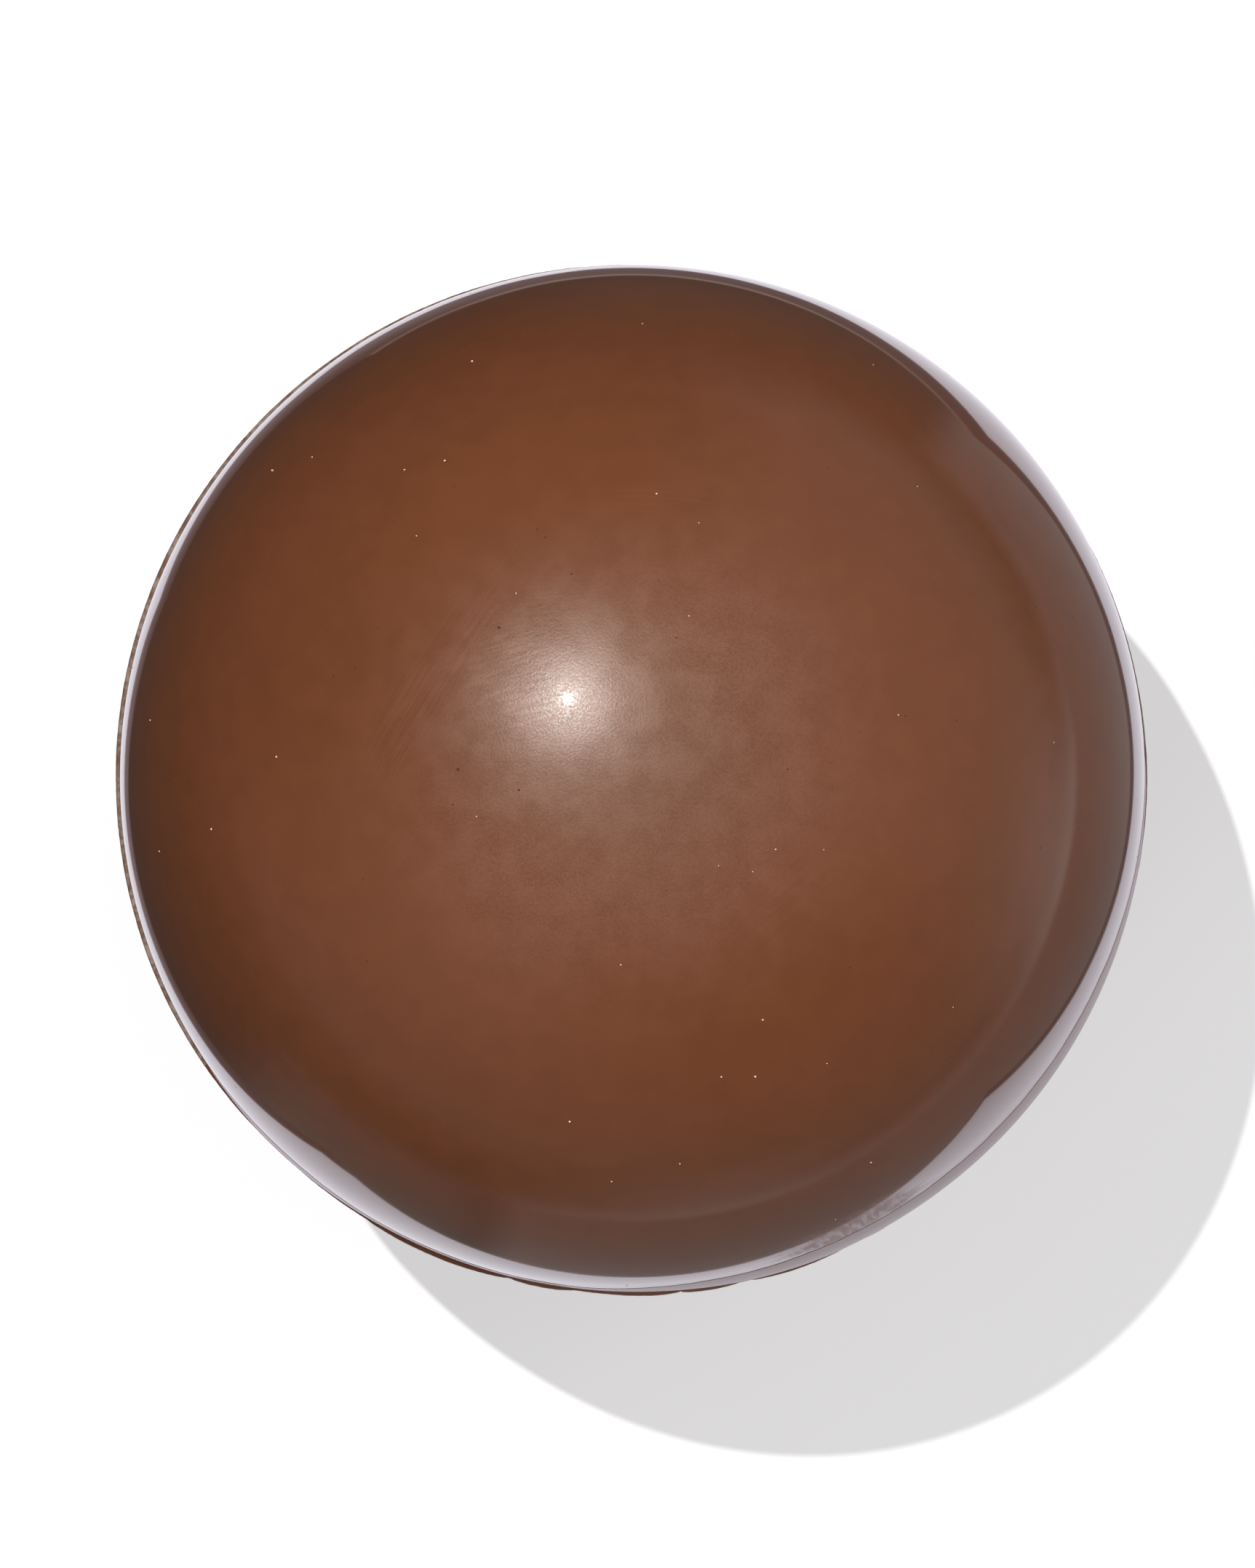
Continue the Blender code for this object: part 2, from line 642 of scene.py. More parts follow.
@dataclass
class HalfShell:
    """One moulded half: an almost perfect half ball with pinholes, and a soft edge at the join.

    Attributes:
        plan: the sphere's sizes.
        side: which half it is.
        cells: faces along a quarter turn of the net.
        edge_height: how far its edge stays from the middle of the join.
        edge_roll: the rounding of that edge: (inwards, towards the join) steps.
        waves: unevenness of the skin: (wavelength, height).
        pinhole_count: how many pinholes are strewn at random.
        pinhole_widths: the smallest and the largest of them.
        placed: pinholes given one by one.
        rubs: the patches where it was rubbed.
        seed: picks the random places and the waves.
    """

    plan: SpherePlan
    side: Side
    cells: int = 160
    edge_height: float = 0.48 * MM
    edge_roll: tuple[tuple[float, float], ...] = (
        (0.02 * MM, 0.06 * MM), (0.07 * MM, 0.10 * MM), (0.16 * MM, 0.12 * MM), (1.2 * MM, 0.12 * MM))
    waves: tuple[tuple[float, float], ...] = ((8.0 * MM, 0.005 * MM), (2.5 * MM, 0.0016 * MM))
    pinhole_count: int = 60
    pinhole_widths: tuple[float, float] = (0.08 * MM, 0.14 * MM)
    placed: tuple[Dot, ...] = ()
    rubs: tuple[Rub, ...] = ()
    seed: int = 1

    def net(self) -> BMesh:
        """An even net of four-sided faces over half a ball of radius one, bulging up.

        Returns:
            The net.
        """
        net = bmesh.new()
        bmesh.ops.create_cube(net, size=2.0)
        bmesh.ops.subdivide_edges(net, edges=net.edges[:], cuts=self.cells - 1, use_grid_fill=True)
        below = [face for face in net.faces if face.calc_center_median().z < 0.0]
        bmesh.ops.delete(net, geom=below, context="FACES")
        for vert in net.verts:
            vert.co = Vector([math.tan(part * math.pi / 4.0) for part in vert.co]).normalized()
        return net

    def shape(self, net: BMesh) -> None:
        """Bring the net to size, with the skin's slight waves and, underneath, the foot.

        Args:
            net: the shell's net.
        """
        radius = self.plan.radius
        lowest = math.asin(self.edge_height / radius)
        for vert in net.verts:
            rise = lowest + math.asin(min(1.0, vert.co.z)) * (1.0 - lowest / (math.pi / 2.0))
            outward = level(vert.co) * math.cos(rise) + UP * math.sin(rise)
            wave = sum(height * swell(outward * radius, length, self.seed) for length, height in self.waves)
            vert.co = outward * (radius + wave)
            if self.side is Side.LOWER:
                vert.co.z = self.soft_lowest(vert.co.z, self.plan.middle)

    @staticmethod
    def soft_lowest(first: float, second: float, softness: float = 0.02 * MM) -> float:
        """The smaller of two lengths, with a soft change from one to the other."""
        apart = first - second
        return (first + second - math.sqrt(apart**2 + softness**2)) / 2.0

    def roll_edge(self, net: BMesh) -> None:
        """Round the edge inwards and close the flat face.

        Args:
            net: the shell's net.
        """
        rim = [vert for vert in net.verts if vert.is_boundary]
        rim.sort(key=lambda vert: math.atan2(vert.co.y, vert.co.x))
        before = (0.0, 0.0)
        for step in self.edge_roll:
            inwards, down = step[0] - before[0], step[1] - before[1]
            rolled = [net.verts.new(vert.co - (level(vert.co) * inwards + UP * down)) for vert in rim]
            for number in range(len(rim)):
                after = (number + 1) % len(rim)
                net.faces.new((rim[number], rolled[number], rolled[after], rim[after]))
            rim = rolled
            before = step
        middle = net.verts.new(sum((vert.co for vert in rim), Vector()) / len(rim))
        for number in range(len(rim)):
            net.faces.new((rim[number], middle, rim[(number + 1) % len(rim)]))

    def pinholes(self) -> list[tuple[Vector, float]]:
        """The direction and width of every pinhole, for a shell that bulges up.

        Returns:
            Directions and widths.
        """
        draw = random.Random(self.seed)
        found = []
        for hole in self.placed:
            point = self.plan.on_top(hole.east * MM, hole.north * MM) - self.plan.centre - self.plan.shift
            found.append((point.normalized(), hole.width * MM))
        found += [strewn(draw, 0.06, 0.999, self.pinhole_widths) for _ in range(self.pinhole_count)]
        return found

    def prick(self, net: BMesh) -> None:
        """Sink every pinhole into the face of the net nearest to it.

        Args:
            net: the shell's net.
        """
        net.faces.ensure_lookup_table()
        middles = np.array([face.calc_center_median().normalized() for face in net.faces])
        chosen = {}
        for outward, width in self.pinholes():
            nearest = int(np.argmax(middles @ np.array(outward)))
            if self.side is Side.UPPER or middles[nearest][2] < 0.97:
                chosen[nearest] = width
        faces = [(net.faces[index], width) for index, width in sorted(chosen.items())]
        draw = random.Random(self.seed + 1)
        for face, width in faces:
            self.sink(net, face, width, draw)

    def sink(self, net: BMesh, face: BMFace, width: float,
             draw: random.Random) -> None:
        """Replace one face with a round, slightly uneven pit.

        Args:
            net: the shell's net.
            face: the four-sided face to replace.
            width: the pit's width at the skin.
            draw: the source of its unevenness.
        """
        middle = face.calc_center_median()
        outward = middle.normalized()
        corners = [loop.vert for loop in face.loops]
        to_corner = corners[0].co - middle
        first = (to_corner - outward * to_corner.dot(outward)).normalized()
        second = outward.cross(first)
        net.faces.remove(face)
        sides = 8
        spread = [draw.uniform(0.8, 1.15) for _ in range(sides)]

        def ring(share: float, depth: float) -> list[BMVert]:
            """A ring of the pit.

            Args:
                share: its width, as a share of the pit's.
                depth: how far under the skin it lies.

            Returns:
                Its points.
            """
            made = []
            for number in range(sides):
                turn = math.tau * number / sides
                out = first * math.cos(turn) + second * math.sin(turn)
                reach = width / 2.0 * share * spread[number]
                made.append(net.verts.new(middle + out * reach - outward * depth))
            return made

        rings = [ring(1.0, 0.0), ring(0.86, width * 0.10), ring(0.5, width * 0.26)]
        rim = rings[0]
        for number in range(4):
            here, there = corners[number], corners[(number + 1) % 4]
            near, far, end = rim[2 * number], rim[2 * number + 1], rim[(2 * number + 2) % sides]
            net.faces.new((here, there, end, far))
            net.faces.new((here, far, near))
        # The pit's walls and floor take the darker finish: painted shade of the cavity.
        for upper, lower in zip(rings, rings[1:]):
            for number in range(sides):
                after = (number + 1) % sides
                wall = net.faces.new((upper[number], upper[after], lower[after], lower[number]))
                wall.material_index = 1
        for number in range(sides):
            net.edges.get((rim[number], rim[(number + 1) % sides])).smooth = False
        bottom = net.verts.new(middle - outward * width * 0.30)
        for number in range(sides):
            floor = net.faces.new((rings[-1][number], rings[-1][(number + 1) % sides], bottom))
            floor.material_index = 1

    def build(self, materials: list[Material]) -> Object:
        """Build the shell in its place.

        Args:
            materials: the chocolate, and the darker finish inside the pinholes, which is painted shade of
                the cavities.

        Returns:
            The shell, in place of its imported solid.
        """
        net = self.net()
        self.shape(net)
        self.prick(net)
        self.roll_edge(net)
        where = self.plan.centre + (self.plan.shift if self.side is Side.UPPER else Vector())
        for vert in net.verts:
            vert.co.z *= self.side.value
            vert.co += where
        if self.side is Side.LOWER:
            bmesh.ops.reverse_faces(net, faces=net.faces[:])
        word = self.side.name.lower()
        shell = shown_piece(f"{word}_shell", net, materials, f"{word}_half")
        self.rub_down(shell.data)
        return shell

    def rub_down(self, mesh: Mesh) -> None:
        """Keep at each point how it was rubbed: the place in the scratches and their strength.

        Args:
            mesh: the shell's mesh.
        """
        count = len(mesh.vertices)
        points = np.zeros(count * 3, dtype=np.float32)
        mesh.vertices.foreach_get("co", points)
        points = points.reshape(count, 3).astype(float)
        rubbed = np.zeros((count, 3))
        dulled = np.zeros((count, 3))
        for number, rub in enumerate(self.rubs):
            patch, place = rub.lay(self.plan, points, float(number))
            stronger = patch * rub.strength > rubbed[:, 2]
            rubbed[stronger, :2] = place[stronger]
            rubbed[stronger, 2] = patch[stronger] * rub.strength
            dulled[:, 0] = np.maximum(dulled[:, 0], patch * rub.dulling)
        for name, values in (("rub", rubbed), ("dulled", dulled)):
            kept = mesh.attributes.new(name, "FLOAT_VECTOR", "POINT")
            kept.data.foreach_set("vector", values.astype(np.float32).ravel())


@dataclass(frozen=True)
class Lobe:
    """A bead of melted chocolate that was pressed further out than the rest of the join.

    Attributes:
        start, end: its ends, as azimuths.
        reach: how much further out it stands, in millimetres.
        drop: how far its middle hangs below the join's, in millimetres.
        lean: where it is fullest, from 0 at its start to 1 at its end.
    """

    start: float
    end: float
    reach: float
    drop: float = 0.0
    lean: float = 0.5

    def fullness(self, azimuth: float) -> float:
        """How much of the lobe there is at an azimuth, from 0 to 1.

        Args:
            azimuth: a direction.

        Returns:
            The share.
        """
        share = ((azimuth - self.start) % 360.0) / (self.end - self.start)
        if share >= 1.0:
            return 0.0
        bent = share ** (math.log(0.5) / math.log(self.lean))
        return math.sin(math.pi * bent) ** 0.6


@dataclass
class MeltedJoin:
    """The layer of melted chocolate between the shells, squeezed out unevenly round the rim.

    On one side a finger wiped what came out up over the upper shell, as a thin hazy film.

    Attributes:
        plan: the sphere's sizes.
        proud: how far it stands out of the lower shell: (azimuth, millimetres), round the rim.
        wiped: how far up the film was wiped: (azimuth, millimetres).
        film: how thick that film is where it is thickest: (azimuth, millimetres).
        film_lip: how thick it is at its upper end.
        film_down: how far down the join's edge its finish goes, as a share of that edge.
        lobes: the beads that stand out further.
        half_height: half its height at the rim.
        steps_round: points round the rim.
        steps_across: points across its edge, top to bottom.
        steps_up: points up the film.
    """

    plan: SpherePlan
    proud: tuple[tuple[float, float], ...] = (
        (0.0, 0.25), (45.0, 0.20), (85.0, 0.26), (115.0, 0.345), (145.0, 0.365), (166.0, 0.325),
        (184.0, 0.25), (204.0, 0.19), (218.0, 0.09), (229.0, 0.01), (240.0, 0.07), (265.0, 0.09),
        (283.0, 0.12), (290.0, 0.09), (305.0, 0.06), (320.0, 0.09), (338.0, 0.11), (352.0, 0.18))
    wiped: tuple[tuple[float, float], ...] = (
        (0.0, 2.4), (8.0, 0.0), (211.0, 0.0), (217.0, 3.2), (227.0, 4.4), (238.0, 3.9), (252.0, 3.4),
        (264.0, 3.4), (271.0, 4.9), (278.0, 6.0), (290.0, 6.8), (302.0, 7.3), (314.0, 7.2), (324.0, 7.0),
        (332.0, 6.5), (340.0, 5.9), (348.0, 4.8), (355.0, 3.6))
    film: tuple[tuple[float, float], ...] = (
        (0.0, 0.088), (8.0, 0.022), (213.0, 0.055), (225.0, 0.121), (240.0, 0.099), (262.0, 0.110),
        (275.0, 0.154), (283.0, 0.231), (290.0, 0.2695), (298.0, 0.231), (305.0, 0.2035), (320.0, 0.1925),
        (340.0, 0.143), (355.0, 0.099))
    lobes: tuple[Lobe, ...] = (
        Lobe(239.0, 256.0, 0.17, 0.10), Lobe(256.5, 263.5, 0.13, 0.15), Lobe(263.0, 275.5, 0.16, 0.2, 0.7),
        Lobe(275.5, 282.0, 0.15, 0.25, 0.4), Lobe(283.5, 295.5, 0.17, 0.1), Lobe(296.0, 301.0, 0.09, 0.1),
        Lobe(301.5, 317.0, 0.055, 0.1), Lobe(317.5, 339.0, 0.05, 0.12, 0.6), Lobe(339.5, 357.0, 0.045, 0.1))
    film_lip: float = 0.009 * MM
    film_down: float = 0.3
    half_height: float = 0.52 * MM
    steps_round: int = 1440
    steps_across: int = 14
    steps_up: int = 18

    @staticmethod
    def between(places: tuple[tuple[float, float], ...], azimuth: float) -> float:
        """A smooth curve round the rim through given (azimuth, millimetres) places, in metres.

        Args:
            places: the (azimuth, millimetres) places.
            azimuth: where to read the curve.

        Returns:
            The curve's value there.
        """
        starts = [place for place, _ in places] + [360.0]
        last = max(number for number, place in enumerate(starts) if place <= azimuth % 360.0)
        share = (azimuth % 360.0 - starts[last]) / (starts[last + 1] - starts[last])
        count = len(places)
        before, here, there, after = (places[(last + step) % count][1] for step in (-1, 0, 1, 2))
        slope_here, slope_there = (there - before) / 2.0, (after - here) / 2.0
        cube = share * share * (3.0 - 2.0 * share)
        reach = here + (there - here) * cube
        reach += slope_here * share * (1.0 - share) ** 2 - slope_there * share**2 * (1.0 - share)
        return reach * MM

    def wiped_at(self, azimuth: float) -> float:
        """How far up the film was wiped at an azimuth, in metres.

        Args:
            azimuth: a direction.

        Returns:
            The height.
        """
        rim = compass(azimuth, self.plan.radius)
        ragged = 1.0 + 0.03 * swell(rim, 2.2 * MM, 21.0) + 0.015 * swell(rim, 0.7 * MM, 22.0)
        return max(0.0, self.between(self.wiped, azimuth)) * ragged

    def cover(self, azimuth: float) -> float:
        """How far the film hides the bead under it at an azimuth, from 0 to 1."""
        return smooth_step((self.wiped_at(azimuth) - 0.6 * MM) / (1.4 * MM))

    def shell_reach(self, azimuth: float, rise: float) -> float:
        """How far the upper shell reaches from the sphere's axis, this high over the middle.

        Args:
            azimuth: a direction.
            rise: the height over the middle.

        Returns:
            The reach.
        """
        outward = compass(azimuth)
        beside = self.plan.shift.cross(outward).z
        return self.plan.shift.dot(outward) + math.sqrt(self.plan.radius**2 - rise**2 - beside**2)

    def film_reach(self, azimuth: float, rise: float) -> float:
        """How far the film reaches from the axis, this high over the middle.

        Args:
            azimuth: a direction.
            rise: the height over the middle.

        Returns:
            The reach.
        """
        top = max(self.wiped_at(azimuth), self.half_height)
        fade = 1.0 - min(1.0, rise / top) ** 1.7
        return self.shell_reach(azimuth, rise) + self.film_lip + self.between(self.film, azimuth) * fade

    def edge(self, azimuth: float) -> list[Vector]:
        """The edge's points at an azimuth, from its top to its bottom.

        Args:
            azimuth: a direction.

        Returns:
            The points.
        """
        outward = compass(azimuth)
        rim = outward * self.plan.radius
        cover = self.cover(azimuth)
        proud = self.between(self.proud, azimuth) + 0.014 * MM * swell(rim, 1.4 * MM, 3.0)
        drop = 0.12 * MM * swell(rim, 9.0 * MM, 5.0)
        for lobe in self.lobes:
            fullness = lobe.fullness(azimuth)
            proud += lobe.reach * MM * fullness
            drop -= lobe.drop * MM * fullness
        half = self.half_height * (1.0 + 0.16 * swell(rim, 3.0 * MM, 8.0))
        top = max(self.wiped_at(azimuth), half + 0.15 * MM)
        points = []
        for step in range(self.steps_up + 1):
            rise = half + (top - half) * (1.0 - (step / self.steps_up) ** 1.6)
            hidden = self.shell_reach(azimuth, rise) - 0.02 * MM
            film = self.film_reach(azimuth, rise) if step > 0 else hidden
            points.append(outward * (hidden + (film - hidden) * cover) + UP * rise)
        for step in range(1, self.steps_across + 1):
            share = 1.0 - 2.0 * step / self.steps_across
            swelling = (1.0 - abs(share) ** 2.6) ** 0.6
            rib = 0.012 * MM * swell(rim + UP * share * 0.2 * MM, 0.32 * MM, 12.0) * swelling
            reach = self.plan.radius - 0.12 * MM + (proud + 0.12 * MM) * swelling + rib
            rise = share * half + drop * swelling
            if rise > 0.0:
                reach += max(0.0, self.film_reach(azimuth, rise) - reach) * cover
            points.append(outward * reach + UP * rise)
        return points

    def build(self, materials: list[Material]) -> Object:
        """Build the join.

        Args:
            materials: the finish of the squeezed-out chocolate, and of the wiped film.

        Returns:
            The join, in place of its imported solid.
        """
        net = bmesh.new()
        rows = []
        wiped = []
        film_end = self.steps_up + int(self.steps_across * self.film_down)
        for step in range(self.steps_round):
            azimuth = 360.0 * step / self.steps_round
            inner = compass(azimuth, self.plan.radius - 1.5 * MM)
            edge = self.edge(azimuth)
            edge = [inner + UP * self.half_height] + edge + [inner + UP * edge[-1].z]
            rows.append([net.verts.new(point + self.plan.centre) for point in edge])
            wiped.append(film_end if self.cover(azimuth) > 0.4 else -1)
        for number, (here, there) in enumerate(zip(rows, rows[1:] + rows[:1])):
            for first in range(len(here) - 1):
                side = net.faces.new((here[first], here[first + 1], there[first + 1], there[first]))
                side.material_index = 1 if first <= wiped[number] else 0
        for end in (0, -1):
            hub = net.verts.new(self.plan.centre + UP * self.half_height * (1.0 if end == 0 else -1.0))
            for here, there in zip(rows, rows[1:] + rows[:1]):
                pair = (here[end], there[end]) if end == 0 else (there[end], here[end])
                net.faces.new((*pair, hub))
        return shown_piece("squeezed_join", net, materials, "melted_join")


@dataclass
class PaleSpecks:
    """Small pale grains caught in the skin, which catch the light.

    Attributes:
        plan: the sphere's sizes.
        placed: the ones given one by one.
        count: how many more there are.
        widths: the smallest and the largest of those.
        seed: picks their places.
    """

    plan: SpherePlan
    placed: tuple[Dot, ...] = ()
    count: int = 30
    widths: tuple[float, float] = (0.08 * MM, 0.12 * MM)
    seed: int = 5

    def build(self, material: Material) -> Object:
        """Build every grain, half sunk in the upper shell.

        Args:
            material: the grains' pale finish.

        Returns:
            The grains, joined into one piece.
        """
        draw = random.Random(self.seed)
        net = bmesh.new()
        grains = [(self.plan.on_top(dot.east * MM, dot.north * MM), dot.width * MM) for dot in self.placed]
        for _ in range(self.count):
            outward, width = strewn(draw, 0.10, 0.99, self.widths)
            grains.append((self.plan.centre + self.plan.shift + outward * self.plan.radius, width))
        for middle, width in grains:
            grain = bmesh.ops.create_icosphere(net, subdivisions=1, radius=0.5)["verts"]
            for vert in grain:
                jolt = Vector([draw.uniform(-0.12, 0.12) for _ in range(3)])
                vert.co = middle + (vert.co + jolt) * width
        return shown_piece("pale_specks", net, [material], None)


@dataclass
class ChocolateSphere:
    """The whole sphere: lower shell, melted join, upper shell and the specks in its skin.

    Attributes:
        plan: the sphere's sizes.
        rubs: the rubbed patches on the upper shell.
        pinholes: the plainest pinholes in it.
        specks: the plainest pale grains in it.
    """

    plan: SpherePlan = field(default_factory=SpherePlan.from_frame)
    rubs: tuple[Rub, ...] = (
        Rub(-11.8, 5.9, 57.0, 18.0, 4.2, 0.20, 6.0, 1.0),
        Rub(-7.2, 5.8, 14.0, 6.5, 8.5, 0.24, 2.2, 0.8),
        Rub(-9.8, -2.4, 18.0, 5.0, 4.0, 0.22, 2.5, 0.5),
        Rub(1.2, 16.3, -4.0, 9.0, 2.6, 0.20, 4.5, 0.8),
        Rub(2.7, 10.8, -24.0, 2.4, 0.8, 0.12, 3.0, 0.8),
        Rub(-5.2, 10.2, 0.0, 6.5, 4.5, 0.25, 2.0, 0.5),
        Rub(-14.0, -4.5, 42.0, 13.0, 2.0, 0.16, 5.0, 0.4),
        Rub(8.0, -7.0, 40.0, 14.0, 7.0, 0.20, 5.0, 0.25),
        Rub(13.0, 4.0, 62.0, 11.0, 5.0, 0.22, 4.0, 0.25),
        Rub(13.35, -27.4, 297.0, 5.2, 10.5, 0.42, 2.2, 0.5, 0.85),
    )
    pinholes: tuple[Dot, ...] = (
        Dot(-22.8, -9.8, 0.21), Dot(-10.1, 0.3, 0.21), Dot(-7.9, 8.8, 0.18),
        Dot(-15.6, -10.8, 0.18), Dot(-17.7, 5.9, 0.17), Dot(12.8, -11.2, 0.16),
        Dot(-16.2, 6.5, 0.15), Dot(-6.7, -0.7, 0.16), Dot(24.2, 10.1, 0.14),
        Dot(-3.7, 11.9, 0.14), Dot(-5.5, 14.4, 0.13), Dot(19.0, 3.2, 0.13),
        Dot(-23.4, 4.2, 0.13), Dot(-14.0, 15.2, 0.13), Dot(-10.5, -1.5, 0.13),
        Dot(16.1, 3.7, 0.12), Dot(-14.9, 8.7, 0.12), Dot(-10.6, 17.2, 0.12),
        Dot(24.3, -4.1, 0.12), Dot(2.5, 8.2, 0.12),
    )
    specks: tuple[Dot, ...] = (
        Dot(-21.7, 18.5, 0.18), Dot(-9.6, 24.9, 0.15), Dot(-11.1, 18.7, 0.14),
        Dot(-21.0, 1.2, 0.14), Dot(-25.1, -3.1, 0.15), Dot(5.2, -17.6, 0.14),
        Dot(7.6, -14.2, 0.14), Dot(7.2, -17.6, 0.15), Dot(1.4, 16.6, 0.14),
        Dot(-3.7, -20.3, 0.14), Dot(-13.5, 18.2, 0.12), Dot(-19.2, 19.2, 0.12),
        Dot(14.3, -23.1, 0.12), Dot(8.3, -4.2, 0.11), Dot(2.8, -22.9, 0.11),
    )

    def build(self) -> list[Object]:
        """Build and dress every piece.

        Returns:
            The pieces.
        """
        chocolate = Chocolate().material()
        film = Chocolate("wiped_chocolate", haze=0.45, gloss_at_edge=0.24, shine=0.0,
                         reflecting=(1.0, 1.0), ior=1.27, colour=(0.145, 0.049, 0.020)).material()
        # Pinhole insides: chocolate painted darker, as painted shade of the cavities.
        pit = SpeckFinish("pinhole_painted_shade", (0.060, 0.021, 0.009), 0.8).material()
        pale_grain = SpeckFinish("pale_grain", (0.62, 0.45, 0.30), 0.3).material()
        lower = HalfShell(self.plan, Side.LOWER, seed=2)
        upper = HalfShell(self.plan, Side.UPPER, placed=self.pinholes, rubs=self.rubs, seed=1)
        return [
            lower.build([chocolate, pit]),
            MeltedJoin(self.plan).build([MeltedChocolate().material(), film]),
            upper.build([chocolate, pit]),
            PaleSpecks(self.plan, self.specks).build(pale_grain),
        ]


# Studio


@dataclass(frozen=True)
class Glow:
    """A pale wall, ceiling or table top around the sphere, as a soft-edged patch of surroundings.

    Attributes:
        radiance: how bright it is.
        azimuth: the middle of it.
        half_width: from there to its sides, in degrees.
        side_blur: how soft its sides are, in degrees.
        top, bottom: its upper and lower edges, in degrees from straight up.
        top_blur, bottom_blur: how soft those are, in degrees.
        tint: its colour.
    """

    radiance: float
    azimuth: float
    half_width: float
    side_blur: float
    top: float
    bottom: float
    top_blur: float
    bottom_blur: float
    tint: Colour = (1.0, 1.0, 1.0)

    def shade(self, azimuth: Value, from_up: Value) -> Value:
        """How bright the glow is in a direction.

        Args:
            azimuth: the direction's azimuth, in degrees.
            from_up: its angle from straight up, in degrees.

        Returns:
            The glow's radiance there.
        """
        turn = (azimuth - self.azimuth).fold(180.0)
        within = turn.rise(self.half_width + self.side_blur, self.half_width - self.side_blur)
        over = from_up.rise(self.top - self.top_blur, self.top + self.top_blur)
        under = from_up.rise(self.bottom + self.bottom_blur, self.bottom - self.bottom_blur)
        return within * over * under * self.radiance


@dataclass(frozen=True)
class Lamp:
    """A far lamp.

    Attributes:
        name: its name.
        azimuth: the direction it is in.
        tilt: its angle from straight up, in degrees.
        spread: its width as seen from the sphere, in degrees.
        strength: its light.
        diffuse, glossy: whether it lights colour, and whether gloss shows it.
        sphere_only: whether it leaves the floor alone.
    """

    name: str
    azimuth: float
    tilt: float
    spread: float
    strength: float
    diffuse: bool = True
    glossy: bool = True
    sphere_only: bool = False

    def hang(self, sphere: list[Object]) -> None:
        """Hang the lamp.

        Args:
            sphere: the sphere's pieces, for a lamp that lights only them.
        """
        data = bpy.data.lights.new(self.name, "SUN")
        data.energy = self.strength
        data.angle = math.radians(self.spread)
        made = bpy.data.objects.new(self.name, data)
        tilt = math.radians(self.tilt)
        towards = compass(self.azimuth, math.sin(tilt)) + UP * math.cos(tilt)
        made.rotation_mode = "QUATERNION"
        made.rotation_quaternion = towards.to_track_quat("Z", "Y")
        made.location = towards
        made.visible_diffuse = self.diffuse
        made.visible_glossy = self.glossy
        bpy.context.scene.collection.objects.link(made)
        if self.sphere_only:
            lit = bpy.data.collections.new(f"lit_by_{self.name}")
            for piece in sphere:
                lit.objects.link(piece)
            made.light_linking.receiver_collection = lit


